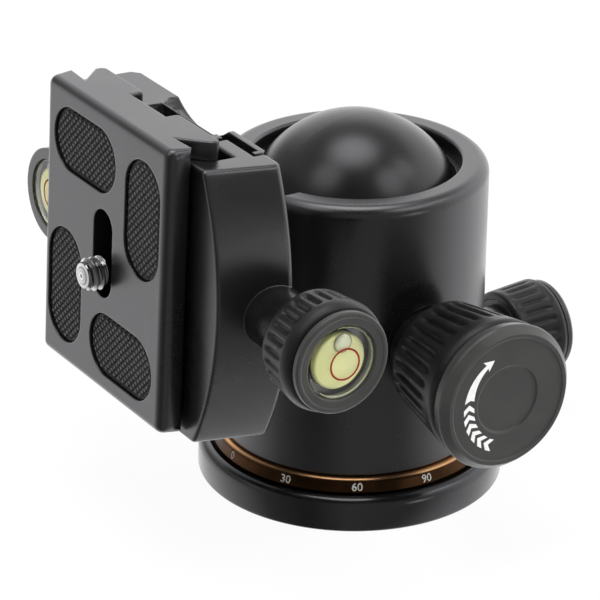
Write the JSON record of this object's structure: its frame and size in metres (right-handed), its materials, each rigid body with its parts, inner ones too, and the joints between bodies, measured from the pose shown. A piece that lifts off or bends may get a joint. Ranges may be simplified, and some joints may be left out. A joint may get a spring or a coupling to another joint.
{
  "type": "tripod ball head",
  "caption": "Compact tripod ball head with drop slot, panning base with angle scale, lock and pan knobs, and a screw clamp holding a dovetail camera plate with two bubble levels.",
  "frame": {"origin": "centre of the tripod thread's mouth, in the middle of the base's underside", "axes": "+Z along the pan axis, out of the top of the housing; -Y towards the lock knob; -X towards the drop slot, where the camera plate hangs at rest"},
  "size_m": [0.1072, 0.1, 0.0851],
  "materials": {
    "gloss_black": "gloss black paint",
    "satin_black": "satin black powder coat",
    "ball_black": "smooth black anodised",
    "copper_ring": "copper coloured anodised",
    "bare_aluminium": "turned",
    "steel": "bright zinc plated",
    "chrome": "polished",
    "brass": "turned",
    "nylon": "natural",
    "knob_black": "satin",
    "grip_rubber": "ribbed matte",
    "pad_rubber": "woven relief",
    "vial": "clear acrylic with pale yellow-green liquid"
  },
  "bodies": {
    "base": {"base_flange": "gloss_black", "scale_ring": "copper_ring", "thread_bushing": "steel", "pan_spindle": "bare_aluminium", "pan_washer": "nylon", "spindle_washer": "steel", "spindle_screws": "steel"},
    "housing": {"housing": "satin_black", "floor_plug": "bare_aluminium", "ball_seat": "nylon", "lock_bush": "brass", "pan_bush": "satin_black", "cup_spring": "steel"},
    "ball_cup": {"ball_cup": "nylon"},
    "lock_screw": {"lock_wedge": "steel"},
    "lock_knob": {"lock_knob_core": "bare_aluminium", "lock_knob_grip": "grip_rubber", "lock_knob_cap": "knob_black"},
    "pan_screw": {"pan_pad": "brass"},
    "pan_knob": {"pan_knob_core": "bare_aluminium", "pan_knob_grip": "grip_rubber", "pan_knob_cap": "knob_black"},
    "ball": {"ball": "ball_black", "stem_screw": "steel"},
    "clamp": {"clamp_body": "satin_black", "guide_pins": "steel", "jaw_springs": "steel", "side_level_vial": "vial"},
    "jaw": {"clamp_jaw": "satin_black"},
    "clamp_knob": {"clamp_knob_core": "bare_aluminium", "clamp_knob_grip": "grip_rubber", "clamp_knob_bezel": "knob_black", "knob_level_vial": "vial"},
    "plate": {"camera_plate": "satin_black", "pad_top": "pad_rubber", "pad_front": "pad_rubber", "pad_back": "pad_rubber", "pad_bottom": "pad_rubber"},
    "screw_slider": {"screw_clip": "steel"},
    "camera_screw": {"camera_screw": "chrome"}
  },
  "joints": [
    {"name": "pan_turn", "type": "hinge", "parent": "base", "child": "housing", "pos_m": [0, 0, 0.0098], "axis": [0, 0, 1], "continuous": true},
    {"name": "lock_travel", "type": "slide", "parent": "housing", "child": "lock_screw", "axis": [0, -1, 0], "range_m": [0, 0.00076]},
    {"name": "lock_turn", "type": "hinge", "parent": "lock_screw", "child": "lock_knob", "pos_m": [0, -0.04, 0.0358], "axis": [0, -1, 0], "range_deg": [0, 270]},
    {"name": "cup_drop", "type": "slide", "parent": "housing", "child": "ball_cup", "axis": [0, 0, -1], "range_m": [0, 0.00026]},
    {"name": "pan_lock_travel", "type": "slide", "parent": "housing", "child": "pan_screw", "axis": [1, 0, 0], "range_m": [0, 0.00041]},
    {"name": "pan_lock_turn", "type": "hinge", "parent": "pan_screw", "child": "pan_knob", "pos_m": [0.04, 0, 0.0185], "axis": [1, 0, 0], "range_deg": [0, 180]},
    {"name": "ball_tilt", "type": "hinge", "parent": "housing", "child": "ball", "pos_m": [0, 0, 0.0527], "axis": [0, 1, 0], "range_deg": [0, 122]},
    {"name": "clamp_turn", "type": "hinge", "parent": "ball", "child": "clamp", "pos_m": [-0.01998, 0, 0.05354], "axis": [-0.9991, 0, 0.0419], "range_deg": [-50, 230]},
    {"name": "jaw_slide", "type": "slide", "parent": "clamp", "child": "jaw", "axis": [0, -1, 0], "range_m": [0, 0.00351]},
    {"name": "clamp_knob_turn", "type": "hinge", "parent": "jaw", "child": "clamp_knob", "pos_m": [-0.03867, -0.044, 0.05432], "axis": [0, -1, 0], "range_deg": [0, 1575]},
    {"name": "plate_slide", "type": "slide", "parent": "clamp", "child": "plate", "axis": [0.0419, 0, 0.9991], "range_m": [-0.01, 0.01]},
    {"name": "screw_travel", "type": "slide", "parent": "plate", "child": "screw_slider", "axis": [0.0419, 0, 0.9991], "range_m": [-0.0015, 0.0089]},
    {"name": "screw_turn", "type": "hinge", "parent": "screw_slider", "child": "camera_screw", "pos_m": [-0.05521, 0.0005, 0.05361], "axis": [-0.9991, 0, 0.0419], "continuous": true}
  ],
  "couplings": [
    {"joint": "lock_travel", "follows": "lock_turn", "m_per_rad": 0.00015915},
    {"joint": "cup_drop", "follows": "lock_turn", "m_per_rad": 0.00005305},
    {"joint": "pan_lock_travel", "follows": "pan_lock_turn", "m_per_rad": 0.00012732},
    {"joint": "jaw_slide", "follows": "clamp_knob_turn", "m_per_rad": 0.00012732}
  ]
}
